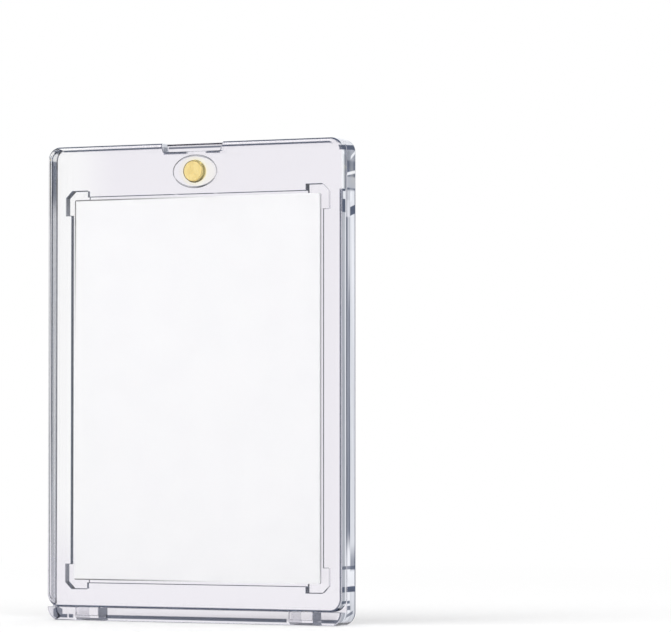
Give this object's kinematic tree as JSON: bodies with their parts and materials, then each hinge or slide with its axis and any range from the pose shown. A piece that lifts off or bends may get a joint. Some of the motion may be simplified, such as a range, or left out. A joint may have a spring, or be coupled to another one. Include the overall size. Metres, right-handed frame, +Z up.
{
  "type": "trading card display case",
  "caption": "Clear two-part snap case that holds one trading card in a recess, hooked at the foot and held shut at the top by small disc magnets.",
  "frame": {"origin": "middle of the underside of the bottom rail, halfway through the thickness, with the case closed", "axes": "+X to the right across the case seen from the front, +Y from the front to the back through the thickness, +Z up along the height"},
  "size_m": [0.0762, 0.008, 0.1107],
  "materials": {
    "clear_plastic": "polished clear moulding",
    "gold_plating": "satin gold plating",
    "white_card": "matt white card stock"
  },
  "bodies": {
    "base": {"base_plate": "clear_plastic", "base_magnet": "gold_plating", "card_blank": "white_card"},
    "cover": {"front_cover": "clear_plastic", "cover_magnet": "gold_plating"}
  },
  "joints": [
    {"name": "cover_tilt", "type": "hinge", "parent": "base", "child": "cover", "pos_m": [0, -0.00315, 0.00395], "axis": [1, 0, 0], "range_deg": [0, 30]}
  ]
}
